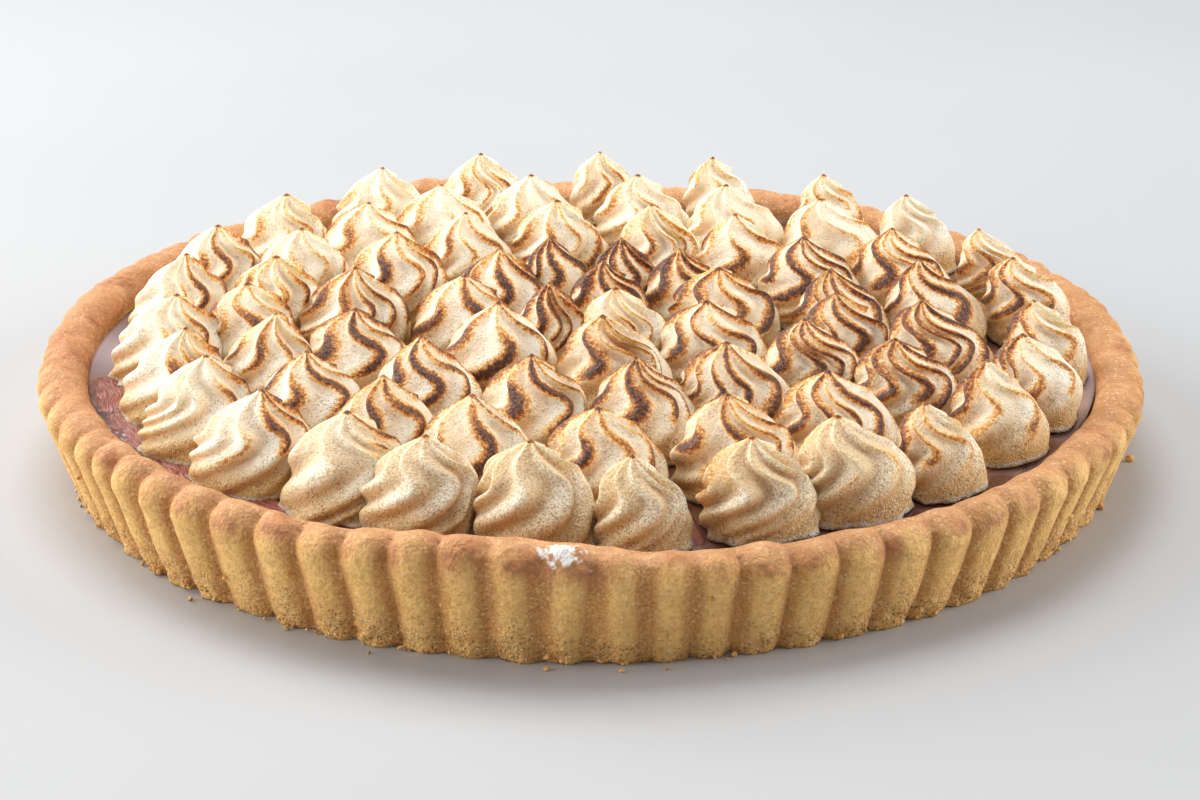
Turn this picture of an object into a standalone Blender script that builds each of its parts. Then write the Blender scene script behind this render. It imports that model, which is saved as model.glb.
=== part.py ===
"""Rhubarb meringue pie: a fluted shortcrust case, its rhubarb filling and 72 piped kisses.

Units are metres, +Z is up, and the origin is the centre of the case's flat base. Bearings are
in degrees seen from above: 0 is +X, the right-hand side, and -90 is the front.
"""
import math

import bmesh
import bpy
import numpy as np

MM = 0.001

# ---- the case ----
RIM_RADIUS = 145.0 * MM         # outside of the flutes at the rim
BASE_RADIUS = 137.0 * MM        # outside of the flutes at the base
WALL_HEIGHT = 28.0 * MM
FLUTES = 76
SAMPLES_PER_FLUTE = 4
FLUTE_DEPTH = 3.0 * MM
FLOOR_THICKNESS = 5.0 * MM
INNER_RADIUS_FLOOR = 127.5 * MM
INNER_RADIUS_RIM = 133.0 * MM
CREST_RADIUS = 139.5 * MM       # highest line of the rounded rim
LIP_DROP = 1.4 * MM             # how far the rim's two edges lie below its crest
RIM_WAVES = ((1, 1.2 * MM, 140), (3, 0.5 * MM, 20), (7, 0.35 * MM, 65))   # waves, height, bearing
RIM_BUMPS = ((111, 7, 2.2 * MM), (82, 9, -1.8 * MM),                      # bearing, width, height
             (-105, 6, 2.0 * MM), (-95, 6, 2.0 * MM))

# ---- the filling ----
FILLING_TOP = 22.5 * MM
GAP = 0.3 * MM                  # clear space between neighbouring pieces

# ---- the rings of kisses, from the rim inwards ----
# count, radius (mm), bearing of the first kiss, how far the kisses drift away from the ring's
# loosest place (degrees), the bearing of that place, how far the ring is drawn out from front
# to back (mm), and how far it is set over to the right (mm), which leaves jelly bare at the left
RINGS = (
    (25, 115.0, 176, 11, 84, 3.5, 2.5),
    (20, 90.0, -174, 5, 0, 2.0, 0.5),
    (15, 63.5, 177, 7, 180, 0.0, 0.0),
    (9, 34.0, -126, 15, -90, 0.0, 0.0),
    (3, 12.5, -162, 20, 100, 0.0, 0.0),
)
WANDER = 2.0 * MM               # how far a hand sets each kiss off its place on the ring
CLOSEST = 19.0 * MM             # soft kisses shove each other at least this far apart
SHOVES = 20

# ---- one kiss ----
KISS_RADIUS_RANGE = (10.6 * MM, 15.2 * MM)
KISS_CROWDING = 0.565           # kiss radius as a share of the distance to its neighbours
CASE_REACH = 132.0 * MM         # the case's inner wall at the height of the kisses
CASE_SQUEEZE = 1.10             # a kiss is at most this much wider than its room at the case
USUAL_RADIUS = 11.0 * MM
KISS_HEIGHT = 20.4 * MM         # of a kiss of the usual radius; a wider one is a little taller
KISS_RIDGES = 8
RIDGE_RELIEF = 0.075            # ridges stand this share of the radius proud
# foot, belly and neck: share of the height, share of the radius, turn in degrees, and points
# to each ridge: a crest and a valley, or the crest alone where the ridges run together
SECTIONS = ((0.0, 0.93, 0.0, 2), (0.36, 1.0, 38.0, 2), (0.74, 0.50, 62.0, 1))
PULL_TOWARD = (-40.0 * MM, 0.0)  # the nozzle was drawn off towards this place, with the tips,
PULL = (0.035, 0.012)            # so each body stands this much further from it, in x and in y
TIP_WOBBLE = 0.8 * MM
COUPLES = 14                    # pairs of closest neighbours that are one body each
FUSED_SHARE = 0.75              # what faces a partner by this share of the radius fuses with it
FUSED_OVERLAP = 1.5 * MM
NEIGHBOUR_REACH = 45.0 * MM


def uneven(index, kind):
    """A repeatable number from -1 to 1 that differs for each kiss and each kind of quirk."""
    wave = math.sin(index * 12.9898 + kind * 78.233) * 43758.5453
    return 2.0 * (wave - math.floor(wave)) - 1.0


def ring_layout():
    """Tips of all the kisses, as an array of (x, y), ring by ring."""
    rings = []
    for count, radius, first, drift, loosest, drawn_out, over in RINGS:
        turn = math.radians(first) + 2 * math.pi * np.arange(count) / count
        bearing = turn + math.radians(drift) * np.sin(turn - math.radians(loosest))
        reach = radius - drawn_out * np.cos(2 * turn)
        rings.append(np.column_stack([reach * np.cos(bearing) + over, reach * np.sin(bearing)]))
    tips = np.concatenate(rings) * MM
    tips += WANDER * np.array([[uneven(i, 6), uneven(i, 7)] for i in range(len(tips))])
    return shove_apart(tips)


def shove_apart(tips):
    """Part the kisses that stand too close, along the line between them, a bit at a time."""
    for _ in range(SHOVES):
        between = tips[:, None, :] - tips[None, :, :]
        apart = np.hypot(between[..., 0], between[..., 1]) + np.eye(len(tips))
        short = np.maximum(CLOSEST - apart, 0.0)
        tips = tips + 0.25 * ((short / apart)[..., None] * between).sum(axis=1)
    return tips


def distances(centres):
    """Distance from every kiss to every other; a kiss is far from itself."""
    apart = centres[:, None, :] - centres[None, :, :]
    return np.hypot(apart[..., 0], apart[..., 1]) + np.eye(len(centres))


def kiss_radii(centres, apart):
    """A kiss is as wide as its four nearest neighbours and the case leave room for."""
    room = np.sort(apart, axis=1)[:, :4].mean(axis=1)
    quirk = np.array([1 + 0.04 * uneven(i, 1) for i in range(len(apart))])
    at_case = CASE_SQUEEZE * (CASE_REACH - np.hypot(centres[:, 0], centres[:, 1]))
    return np.clip(np.minimum(room * KISS_CROWDING * quirk, at_case), *KISS_RADIUS_RANGE)


def find_couples(apart):
    """The closest pairs of kisses, each kiss in one pair at most."""
    first, second = np.triu_indices(len(apart), 1)
    couples, taken = [], set()
    for k in np.argsort(apart[first, second]):
        pair = (int(first[k]), int(second[k]))
        if len(couples) < COUPLES and not taken & set(pair):
            couples.append(pair)
            taken.update(pair)
    return couples


def principled(name, colour, roughness):
    """A plain material with the part's colour."""
    material = bpy.data.materials.new(name)
    material.use_nodes = True
    shader = material.node_tree.nodes["Principled BSDF"]
    shader.inputs["Base Color"].default_value = (*colour, 1.0)
    shader.inputs["Roughness"].default_value = roughness
    return material


def add_object(name, points, faces, material, collection, smooth_below=35.0):
    """Make a mesh object of points and faces, shaded smooth up to an angle."""
    mesh = bpy.data.meshes.new(name)
    mesh.from_pydata([tuple(map(float, p)) for p in points], [], faces)
    mesh.materials.append(material)
    mesh.shade_smooth()
    mesh.set_sharp_from_angle(angle=math.radians(smooth_below))
    obj = bpy.data.objects.new(name, mesh)
    collection.objects.link(obj)
    return obj


def ring_points(bearings, radius, height):
    """Points at these bearings; radius and height are numbers or one value per bearing."""
    return np.column_stack([radius * np.cos(bearings), radius * np.sin(bearings),
                            np.broadcast_to(height, bearings.shape)])


def strip(lower, upper, count):
    """Quads between two rings of equal count, facing out when lower is below upper."""
    return [(lower + i, lower + (i + 1) % count, upper + (i + 1) % count, upper + i)
            for i in range(count)]


def fan_strip(fine, coarse, coarse_count, per_coarse):
    """Triangles from a ring of many points in to a ring with one point for each flute."""
    fine_count = coarse_count * per_coarse
    half = per_coarse // 2
    faces = []
    for i in range(coarse_count):
        here, after = coarse + i, coarse + (i + 1) % coarse_count
        edge = [fine + (i * per_coarse + j) % fine_count for j in range(per_coarse + 1)]
        faces += [(edge[j], edge[j + 1], here) for j in range(half)]
        faces.append((edge[half], after, here))
        faces += [(edge[j], edge[j + 1], after) for j in range(half, per_coarse)]
    return faces


def rim_height(bearings):
    """Height of the rim's crest: a level line with slow waves, three bumps and one dip."""
    height = np.full_like(bearings, WALL_HEIGHT)
    for waves, size, bearing in RIM_WAVES:
        height += size * np.cos(waves * (bearings - math.radians(bearing)))
    for bearing, width, size in RIM_BUMPS:
        off = np.degrees(np.angle(np.exp(1j * (bearings - math.radians(bearing)))))
        height += size * np.exp(-(off / width) ** 2)
    return height


def make_crust(material, collection):
    """The case: a fluted wall with round lobes and narrow valleys, smooth and round inside."""
    fine_count = FLUTES * SAMPLES_PER_FLUTE
    fine = np.arange(fine_count) * 2 * math.pi / fine_count
    coarse = np.arange(FLUTES) * 2 * math.pi / FLUTES
    across = (np.arange(fine_count) % SAMPLES_PER_FLUTE) / SAMPLES_PER_FLUTE
    lobe = np.sin(math.pi * across) ** 0.6
    valley = FLUTE_DEPTH * (lobe - 1.0)
    wall_share = 0.72           # the flutes start to round over at this share of the height
    wall_radius = BASE_RADIUS + (RIM_RADIUS - BASE_RADIUS) * wall_share
    rings = [
        ring_points(fine, BASE_RADIUS + valley, 0.0),
        ring_points(fine, wall_radius + valley, rim_height(fine) * wall_share),
        ring_points(fine, RIM_RADIUS + 0.7 * valley, rim_height(fine) - LIP_DROP),
        ring_points(coarse, CREST_RADIUS, rim_height(coarse)),
        ring_points(coarse, INNER_RADIUS_RIM, rim_height(coarse) - LIP_DROP),
        ring_points(coarse, INNER_RADIUS_FLOOR, FLOOR_THICKNESS),
    ]
    start = np.cumsum([0] + [len(r) for r in rings])
    faces = [tuple(range(fine_count))[::-1]]
    faces += strip(start[0], start[1], fine_count)
    faces += strip(start[1], start[2], fine_count)
    faces += fan_strip(start[2], start[3], FLUTES, SAMPLES_PER_FLUTE)
    faces += strip(start[3], start[4], FLUTES)
    faces += strip(start[4], start[5], FLUTES)
    faces.append(tuple(range(start[5], start[5] + FLUTES)))
    return add_object("crust", np.concatenate(rings), faces, material, collection)


def inner_radius(height):
    """Radius of the case's inner wall at a height."""
    share = (height - FLOOR_THICKNESS) / (WALL_HEIGHT - LIP_DROP - FLOOR_THICKNESS)
    return INNER_RADIUS_FLOOR + (INNER_RADIUS_RIM - INNER_RADIUS_FLOOR) * share


def make_filling(material, collection):
    """The filling: a disc that runs from the case's floor to the kisses' feet."""
    bearings = np.arange(FLUTES) * 2 * math.pi / FLUTES
    bottom = FLOOR_THICKNESS + GAP
    lean_gap = 2 * GAP          # the rim is uneven, so the wall's slope varies a little
    rings = [
        ring_points(bearings, inner_radius(bottom) - lean_gap, bottom),
        ring_points(bearings, inner_radius(FILLING_TOP) - lean_gap, FILLING_TOP),
    ]
    faces = [tuple(range(FLUTES))[::-1]]
    faces += strip(0, FLUTES, FLUTES)
    faces.append(tuple(range(FLUTES, 2 * FLUTES)))
    return add_object("filling", np.concatenate(rings), faces, material, collection)


def keep_apart(points, kiss, centres, radii, apart, partner):
    """Press points back to the plane where each neighbour starts, as soft meringue does.

    Towards a partner the points reach past that plane instead, so that the two fuse.
    """
    points = points.copy()
    if partner is not None:
        toward = (centres[partner] - centres[kiss]) / apart[kiss, partner]
        along = (points[:, :2] - centres[kiss]) @ toward
        facing = along > FUSED_SHARE * radii[kiss]
        short = np.maximum(apart[kiss, partner] / 2 + FUSED_OVERLAP - along, 0.0)
        points[:, :2] += np.where(facing, short, 0.0)[:, None] * toward
    for _ in range(3):
        for other in np.flatnonzero(apart[kiss] < NEIGHBOUR_REACH):
            if other in (kiss, partner):
                continue
            toward = (centres[other] - centres[kiss]) / apart[kiss, other]
            plane = (apart[kiss, other] / 2 - GAP / 2
                     + (radii[kiss] ** 2 - radii[other] ** 2) / (2 * apart[kiss, other]))
            over = np.maximum((points[:, :2] - centres[kiss]) @ toward - plane, 0.0)
            points[:, :2] -= over[:, None] * toward
        wall = inner_radius(FILLING_TOP) - 2 * GAP
        reach = np.hypot(points[:, 0], points[:, 1])
        points[:, :2] *= np.minimum(1.0, wall / reach)[:, None]
    return points


def kiss_points(kiss, tips, centres, radii):
    """Sections of a star that turn and shrink towards a leaning tip."""
    foot = FILLING_TOP + GAP
    height = KISS_HEIGHT * (radii[kiss] / USUAL_RADIUS) ** 0.3 * (1 + 0.03 * uneven(kiss, 2))
    lean = tips[kiss] - centres[kiss] + TIP_WOBBLE * np.array([uneven(kiss, 3), uneven(kiss, 4)])
    start = math.pi * uneven(kiss, 5)
    sections = []
    for share, width, turn, per_ridge in SECTIONS:
        samples = per_ridge * KISS_RIDGES
        around = np.arange(samples) * 2 * math.pi / samples
        star = 1 + RIDGE_RELIEF * np.cos(KISS_RIDGES * around)
        section = ring_points(around + start + math.radians(turn), radii[kiss] * width * star,
                              foot + height * share)
        section[:, :2] += centres[kiss] + lean * share ** 2
        sections.append(section)
    tip = np.append(centres[kiss] + lean, foot + height)
    return np.vstack(sections + [tip[None, :]])


def kiss_faces():
    """Faces of a kiss: its foot, the wall up to the neck, and the fan at the tip."""
    samples = 2 * KISS_RIDGES
    belly, neck, tip = samples, 2 * samples, 2 * samples + KISS_RIDGES
    faces = [tuple(range(samples))[::-1]]
    for a, b, c, d in strip(0, belly, samples):
        faces += [(a, b, c), (a, c, d)]
    faces += fan_strip(belly, neck, KISS_RIDGES, 2)
    faces += [(neck + i, neck + (i + 1) % KISS_RIDGES, tip) for i in range(KISS_RIDGES)]
    return faces


def join_by_union(obj, other):
    """Fuse another object into this one and remove it."""
    union = obj.modifiers.new("grown_together", "BOOLEAN")
    union.operation = "UNION"
    union.solver = "EXACT"
    union.object = other
    graph = bpy.context.evaluated_depsgraph_get()
    fused = bpy.data.meshes.new_from_object(obj.evaluated_get(graph))
    obj.modifiers.remove(union)
    loose = obj.data
    obj.data = fused
    bpy.data.meshes.remove(loose)
    bpy.data.objects.remove(other)
    fill_bubbles(fused)


def fill_bubbles(mesh):
    """Remove the tiny hollows that two fused ridges can shut in: all but the largest shell."""
    shells = bmesh.new()
    shells.from_mesh(mesh)
    left, groups = set(shells.verts), []
    while left:
        group, front = set(), [left.pop()]
        while front:
            vert = front.pop()
            group.add(vert)
            near = {edge.other_vert(vert) for edge in vert.link_edges} & left
            left -= near
            front.extend(near)
        groups.append(group)
    groups.sort(key=len)
    for group in groups[:-1]:
        bmesh.ops.delete(shells, geom=list(group), context="VERTS")
    shells.to_mesh(mesh)
    shells.free()


def make_kisses(material, collection):
    """All the kisses: single ones, and couples that are fused into one body."""
    tips = ring_layout()
    centres = tips + np.array(PULL) * (tips - np.array(PULL_TOWARD))
    apart = distances(centres)
    radii = kiss_radii(centres, apart)
    couples = find_couples(apart)
    partner = {}
    for a, b in couples:
        partner[a], partner[b] = b, a
    kisses = {}
    for kiss in range(len(centres)):
        points = keep_apart(kiss_points(kiss, tips, centres, radii), kiss, centres, radii,
                            apart, partner.get(kiss))
        kisses[kiss] = add_object(f"kiss_{kiss + 1:02d}", points, kiss_faces(), material,
                                  collection, smooth_below=50.0)
    for a, b in couples:
        join_by_union(kisses[a], kisses[b])
        kisses[a].name = f"kisses_{a + 1:02d}_{b + 1:02d}"


def main():
    for obj in list(bpy.data.objects):
        bpy.data.objects.remove(obj)
    collection = bpy.data.collections.new("rhubarb_meringue_pie")
    bpy.context.scene.collection.children.link(collection)
    make_crust(principled("shortcrust", (0.62, 0.37, 0.16), 0.75), collection)
    make_filling(principled("rhubarb", (0.26, 0.09, 0.09), 0.25), collection)
    make_kisses(principled("meringue", (0.80, 0.66, 0.46), 0.6), collection)


main()
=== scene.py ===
# %% [markdown]
# # A rhubarb meringue pie
#
# The real thing is a fluted shortcrust case, 29 cm across, filled with rhubarb in a dark,
# shiny jelly, and covered with 72 kisses of meringue from a star nozzle. A small torch went
# over the kisses and burned the tops of their ridges.
#
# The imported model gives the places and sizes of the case, the filling and the kisses, as coarse
# solids. This lesson replaces each with a fine surface in the same place: a formula of two
# parameters on a grid, worked out by numpy for all points at once.

# %% Load the frame
import math

import bpy
import numpy as np
from mathutils import Matrix, Vector


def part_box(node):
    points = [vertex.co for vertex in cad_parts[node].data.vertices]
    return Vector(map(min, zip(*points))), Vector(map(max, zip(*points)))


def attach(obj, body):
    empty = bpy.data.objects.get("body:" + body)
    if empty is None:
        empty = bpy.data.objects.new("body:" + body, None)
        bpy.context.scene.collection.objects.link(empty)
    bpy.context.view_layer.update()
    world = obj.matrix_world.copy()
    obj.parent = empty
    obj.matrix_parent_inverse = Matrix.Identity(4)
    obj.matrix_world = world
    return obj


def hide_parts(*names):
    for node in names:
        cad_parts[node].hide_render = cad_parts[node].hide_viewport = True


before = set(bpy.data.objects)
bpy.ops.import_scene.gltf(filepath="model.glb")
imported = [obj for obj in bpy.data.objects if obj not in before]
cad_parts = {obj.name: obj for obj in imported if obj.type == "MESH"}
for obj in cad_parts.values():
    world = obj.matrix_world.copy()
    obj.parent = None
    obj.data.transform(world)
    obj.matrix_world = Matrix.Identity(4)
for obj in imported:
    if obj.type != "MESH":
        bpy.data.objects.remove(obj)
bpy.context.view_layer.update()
MM = 0.001

# %% [markdown]
# ## The camera
#
# The photograph was taken from about 21 degrees above level with a fairly long lens. The ellipse
# of the rim gives the height of the view, and the size of the near kisses against the far ones
# gives the distance: about five times the pie's radius.

# %% Camera
CAMERA_AIM = Vector((0.0023, 0.0, 0.0093))
CAMERA_DISTANCE = 0.725
CAMERA_ELEVATION = math.radians(21.41)
CAMERA_ROLL = math.radians(0.13)
CAMERA_LENS_MM = 81.3


def add_camera():
    """A camera on the -Y side that looks down at the aim point, turned a little by its roll."""
    data = bpy.data.cameras.new("camera")
    data.lens = CAMERA_LENS_MM
    data.clip_start = 0.01
    camera = bpy.data.objects.new("camera", data)
    back = Vector((0.0, -math.cos(CAMERA_ELEVATION), math.sin(CAMERA_ELEVATION)))
    place = Matrix.Translation(CAMERA_AIM + back * CAMERA_DISTANCE)
    look = back.to_track_quat("Z", "Y").to_matrix().to_4x4()
    camera.matrix_world = place @ look @ Matrix.Rotation(CAMERA_ROLL, 4, "Z")
    bpy.context.scene.collection.objects.link(camera)
    bpy.context.scene.camera = camera
    return camera


camera = add_camera()
print("camera at", [round(c, 3) for c in camera.matrix_world.translation])

# %% [markdown]
# ## Helpers for surfaces
#
# All the pieces are grids: rows of points that close on themselves. `lattice_noise` is the
# source of everything uneven. It could come from a texture in a Displace modifier, but as a
# numpy function it gives the same numbers to the shape and to the browning of the same spot.

# %% Grid and noise helpers
def lattice_noise(points, size, seed):
    """Smooth noise from -1 to 1: random values at the corners of cubes, eased between them."""
    place = np.asarray(points, float) / size + seed * 7.31
    cell = np.floor(place).astype(np.int64)
    share = place - cell
    share = share * share * (3.0 - 2.0 * share)
    total = np.zeros(place.shape[:-1])
    for corner in range(8):
        step = np.array([corner & 1, corner >> 1 & 1, corner >> 2 & 1])
        key = ((cell + step) * np.array([73856093, 19349663, 83492791])).sum(axis=-1)
        key = (key + seed * 9176) & 0xFFFFFF
        key = (key ^ key >> 11) * 0x5BD1E995 & 0xFFFFFFFF
        key = (key ^ key >> 15) * 0x27D4EB2F & 0xFFFFFFFF
        value = (key ^ key >> 13 & 0xFFFF) % 65536 / 32767.5 - 1.0
        total += value * np.prod(np.where(step, share, 1.0 - share), axis=-1)
    return total


def layered_noise(points, size, seed):
    """Lattice noise plus a finer copy of itself, half as large and half as strong."""
    return lattice_noise(points, size, seed) + lattice_noise(points, size / 2, seed + 1) / 2


def swell(points, size_mm, seed, height_mm):
    """Lattice noise as a height: both its size and how far it swells are in millimetres."""
    return height_mm * MM * lattice_noise(points, size_mm * MM, seed)


def smoothstep(low, high, value):
    """0 below low, 1 above high, an eased slope between."""
    share = np.clip((value - low) / (high - low), 0.0, 1.0)
    return share * share * (3.0 - 2.0 * share)


def hump(offset, width, power=2):
    """1 at no offset, falling off to both sides like a bell; a higher power flattens its top."""
    return np.exp(-(offset / width) ** power)


def near(angle, bearing, width, power=2):
    """A hump round a bearing and of a width in degrees, at angles in radians."""
    return hump(np.degrees(np.angle(np.exp(1j * (angle - math.radians(bearing))))), width, power)


def grid_quads(rows, columns):
    """Quads of a grid whose rows close round; rows run upwards and columns anticlockwise."""
    row, column = np.mgrid[0:rows - 1, 0:columns]
    here = row * columns + column
    right = row * columns + (column + 1) % columns
    return np.stack([here, right, right + columns, here + columns], axis=-1).reshape(-1, 4)


def polar(radius, angle, height=0.0):
    """Points at a radius and a bearing round the Z axis, at a height."""
    return np.stack(np.broadcast_arrays(radius * np.cos(angle), radius * np.sin(angle), height),
                    axis=-1)


def close_grid(points, top, bottom):
    """Flat points, quads and triangles of a grid that a point closes at its top and its bottom."""
    rows, columns = points.shape[:2]
    first = np.arange(columns)
    last = (rows - 1) * columns + first
    triangles = [[last, np.roll(last, -1), np.full(columns, rows * columns)],
                 [np.roll(first, -1), first, np.full(columns, rows * columns + 1)]]
    return (np.vstack([points.reshape(-1, 3), top, bottom]), grid_quads(rows, columns),
            np.concatenate([np.stack(three, axis=-1) for three in triangles]))


def add_piece(name, points, quads, triangles, material, uvs=None, masks=None):
    """A mesh object at the origin from arrays of points, quads and triangles.

    uvs holds one (u, v) for each face corner, and masks one number for each point.
    """
    mesh = bpy.data.meshes.new(name)
    mesh.from_pydata(points, [], [*quads.tolist(), *triangles.tolist()])
    if uvs is not None:
        layer = mesh.uv_layers.new(name="surface")
        layer.data.foreach_set("uv", np.asarray(uvs, np.float32).ravel())
    for mask, values in (masks or {}).items():
        attribute = mesh.attributes.new(mask, "FLOAT", "POINT")
        attribute.data.foreach_set("value", np.asarray(values, np.float32).ravel())
    mesh.shade_smooth()
    mesh.materials.append(material)
    piece = bpy.data.objects.new(name, mesh)
    bpy.context.scene.collection.objects.link(piece)
    return piece


# %% [markdown]
# ## Helpers for finishes
#
# A finish is a node tree, laid up like paint, one thin layer of colour over another. The
# finishes share two node groups: `patches` is soft noise cut between two levels, which makes
# blotches, speckles or grains according to its scale, and `dots` are round spots for pores, pits
# and single grains.

# %% Node helpers
DOT_EDGE = 0.08                     # how soft the edge of a dot is, as a share of its cell


def srgb(red, green, blue):
    """A colour as picked on a screen, from 0 to 255, as the linear values that Blender uses."""
    linear = [(c / 255 / 12.92) if c <= 10 else ((c / 255 + 0.055) / 1.055) ** 2.4
              for c in (red, green, blue)]
    return (*linear, 1.0)


class Nodes:
    """A node tree with short calls; most add one node and give what it puts out."""

    def __init__(self, tree):
        self.tree = tree

    def connect(self, node, inputs):
        """Link a node's inputs, by name or number, to other sockets, or set their values."""
        for key, value in inputs.items():
            if isinstance(value, bpy.types.NodeSocket):
                self.tree.links.new(value, node.inputs[key])
            else:
                node.inputs[key].default_value = value

    def add(self, kind, inputs=None, **settings):
        """A node of this kind; its settings come first, as they decide on its inputs."""
        node = self.tree.nodes.new(kind)
        for key, value in settings.items():
            setattr(node, key, value)
        self.connect(node, inputs or {})
        return node

    def calculate(self, operation, *values):
        """The result of a Math node."""
        return self.add("ShaderNodeMath", dict(enumerate(values)), operation=operation).outputs[0]

    def times(self, first, second):
        """One number or mask multiplied by another."""
        return self.calculate("MULTIPLY", first, second)

    def remap(self, value, low, high, to_low=0.0, to_high=1.0):
        """An eased slope of a value from one range to another."""
        return self.add("ShaderNodeMapRange", {
            "Value": value, "From Min": low, "From Max": high, "To Min": to_low,
            "To Max": to_high}, interpolation_type="SMOOTHSTEP").outputs["Result"]

    def blend(self, share, first, second):
        """A colour between two others, by a share from 0 to 1. Plain triples are screen colours."""
        first, second = (srgb(*c) if isinstance(c, tuple) else c for c in (first, second))
        return self.add("ShaderNodeMix", {0: share, 6: first, 7: second},
                        data_type="RGBA").outputs[2]

    def layer(self, colour, *layers):
        """A colour under thin layers, each given as its share from 0 to 1 and its own colour."""
        for share, over in layers:
            colour = self.blend(share, colour, over)
        return colour

    def group(self, tree, *values):
        """The mask of a shared group, with a value for each of its inputs in their order."""
        return self.add("ShaderNodeGroup", dict(enumerate(values)), node_tree=tree).outputs[0]

    def patches(self, scale, low, high, detail=2.0):
        """Blotches of a scale: 0 where the noise is below one level, 1 above the other."""
        return self.group(PATCHES, scale, low, high, detail)

    def dots(self, scale, size, left_out):
        """Dots: cells per metre, radius as a share of a cell, share of the cells left empty."""
        return self.group(DOTS, scale, size, left_out)

    def mask(self, name):
        """A number stored on the piece's points."""
        return self.add("ShaderNodeAttribute", attribute_name=name).outputs["Fac"]

    def bump(self, height, distance, strength=1.0, normal=None):
        """A bumped normal; distance is the depth in metres of a height from 0 to 1."""
        under = {} if normal is None else {"Normal": normal}
        return self.add("ShaderNodeBump", {"Height": height, "Distance": distance,
                                           "Strength": strength, **under}).outputs["Normal"]


def start_group(name, *inputs):
    """A group with these number inputs and an output, Mask: its nodes, inputs and place."""
    group = bpy.data.node_groups.new(name, "ShaderNodeTree")
    for key in inputs:
        group.interface.new_socket(key, in_out="INPUT", socket_type="NodeSocketFloat")
    group.interface.new_socket("Mask", in_out="OUTPUT", socket_type="NodeSocketFloat")
    n = Nodes(group)
    given = n.add("NodeGroupInput").outputs[:len(inputs)]
    return n, *given, n.add("ShaderNodeTexCoord").outputs["Object"]


def make_patches_group():
    """Noise of a given scale, cut so that it is 0 below one level and 1 above another."""
    n, scale, low, high, detail, place = start_group("patches", "Scale", "Low", "High", "Detail")
    noise = n.add("ShaderNodeTexNoise", {"Vector": place, "Scale": scale, "Detail": detail})
    n.add("NodeGroupOutput", {"Mask": n.remap(noise.outputs["Fac"], low, high)})
    return n.tree


def make_dots_group():
    """Round dots, one in each cell of a Voronoi texture, of which a share is left out."""
    n, scale, size, left_out, place = start_group("dots", "Scale", "Size", "Left Out")
    cells = n.add("ShaderNodeTexVoronoi", {"Vector": place, "Scale": scale}).outputs
    chance = n.add("ShaderNodeSeparateXYZ", {0: cells["Color"]}).outputs[0]
    inside = n.remap(n.calculate("SUBTRACT", size, cells["Distance"]), 0.0, DOT_EDGE)
    kept = n.calculate("GREATER_THAN", chance, left_out)
    n.add("NodeGroupOutput", {"Mask": n.times(inside, kept)})
    return n.tree


def new_material(name, ior=1.5, under=0.0, depth=0.05, reach=(1.0, 0.2, 0.1)):
    """A material, its node calls and its shader.

    A share of the light goes under the surface, by a depth in metres times the reach of its red,
    green and blue.
    """
    material = bpy.data.materials.new(name)
    material.use_nodes = True
    n, shader = Nodes(material.node_tree), material.node_tree.nodes["Principled BSDF"]
    n.connect(shader, {"IOR": ior, "Subsurface Weight": under, "Subsurface Scale": depth,
                       "Subsurface Radius": reach})
    return material, n, shader


PATCHES, DOTS = make_patches_group(), make_dots_group()
print("shared groups:", PATCHES.name, DOTS.name)

# %% [markdown]
# ## Where the kisses stand
#
# The baker piped five rings from the rim inwards. The count, the radius and the first bearing
# make an even ring. In each ring the kisses drift away from one loose place, the outer rings are
# drawn out from front to back and set over to the right, where less jelly stays bare. A hand
# sets every kiss a little off its place, and kisses that come too close shove each other apart.
# These are the same sizes and rules as in the solid model, so each fine kiss grows exactly where
# its coarse one stands.

# %% Layout of the kisses
# count, radius (mm), bearing of the first, drift (degrees), bearing of the loosest place,
# drawn out by (mm), set over to the right by (mm)
RINGS = (
    (25, 115.0, 176, 11, 84, 3.5, 2.5),
    (20, 90.0, -174, 5, 0, 2.0, 0.5),
    (15, 63.5, 177, 7, 180, 0.0, 0.0),
    (9, 34.0, -126, 15, -90, 0.0, 0.0),
    (3, 12.5, -162, 20, 100, 0.0, 0.0),
)
KISSES = sum(row[0] for row in RINGS)
WANDER = 2.0 * MM                   # how far a hand sets a kiss off its place, each way
CLOSEST = 19.0 * MM                 # tips nearer than this shove each other apart
SHOVES = 20
USUAL_RADIUS = 11.0 * MM
KISS_RADIUS_RANGE = (10.6 * MM, 15.2 * MM)
KISS_CROWDING = 0.565               # radius, as a share of the room between neighbours
CASE_REACH = 132.0 * MM
CASE_SQUEEZE = 1.10                 # radius, as a share of the room towards the case
KISS_HEIGHT = 20.4 * MM
PULL_TOWARD = (-40.0 * MM, 0.0)     # the nozzle was drawn off towards here, with the tips
PULL = (0.035, 0.012)
TIP_WOBBLE = 0.8 * MM
RING_REACH = RINGS[0][1] * MM
GAP = 0.3 * MM                      # between solids that touch
FILLING_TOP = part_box("filling")[1][2]


def uneven(index, kind):
    """A repeatable number from -1 to 1 that differs for each kiss and each kind of quirk."""
    wave = math.sin(index * 12.9898 + kind * 78.233) * 43758.5453
    return 2.0 * (wave - math.floor(wave)) - 1.0


def all_uneven(*kinds):
    """The uneven numbers of all the kisses: a row for each kiss, a column for each kind."""
    return np.array([[uneven(kiss, kind) for kind in kinds] for kiss in range(KISSES)])


def ring_layout():
    """Tips of the kisses: polar places with a drift and an oval, plus each kiss's wander."""
    rings = []
    for count, radius, first, drift, loosest, drawn_out, over in RINGS:
        turn = math.radians(first) + 2 * math.pi * np.arange(count) / count
        bearing = turn + math.radians(drift) * np.sin(turn - math.radians(loosest))
        reach = radius - drawn_out * np.cos(2 * turn)
        rings.append(polar(reach, bearing)[:, :2] + [over, 0.0])
    return shove_apart(np.concatenate(rings) * MM + WANDER * all_uneven(6, 7))


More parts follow.
